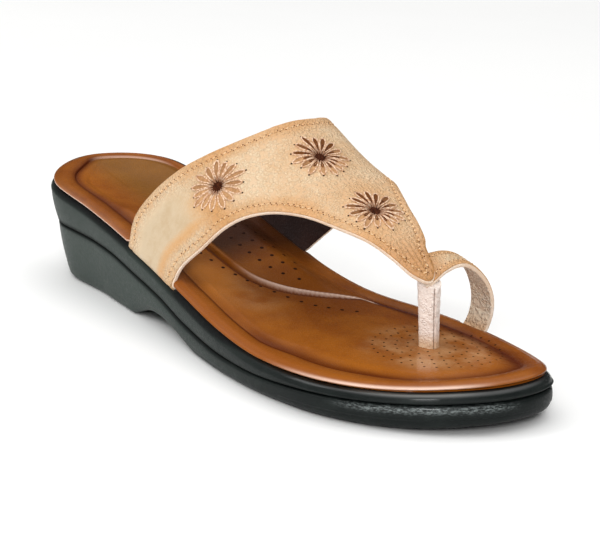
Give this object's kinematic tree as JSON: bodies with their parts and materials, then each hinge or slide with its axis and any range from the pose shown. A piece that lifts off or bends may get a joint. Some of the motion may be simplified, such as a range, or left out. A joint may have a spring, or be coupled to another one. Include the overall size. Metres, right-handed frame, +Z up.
{
  "type": "toe-ring thong sandal",
  "caption": "Slip-on thong sandal for the right foot: low moulded wedge sole, padded footbed with arch pad, leather T-strap, toe post and big-toe ring.",
  "frame": {"origin": "on the ground, under the middle of the sandal's bounding box", "axes": "+X to the toe, +Y to the inner side of the foot, +Z up"},
  "size_m": [0.2511, 0.089, 0.0825],
  "materials": {
    "outsole": "satin black moulded",
    "midsole": "satin black moulded",
    "insole": "glossy burnished brown",
    "upper": "pebbled tan with burnished edges",
    "toe_post": "pale soft lining leather"
  },
  "bodies": {
    "root": {"outsole": "outsole", "midsole": "midsole", "insole": "insole", "upper": "upper", "toe_post": "toe_post"}
  },
  "joints": []
}
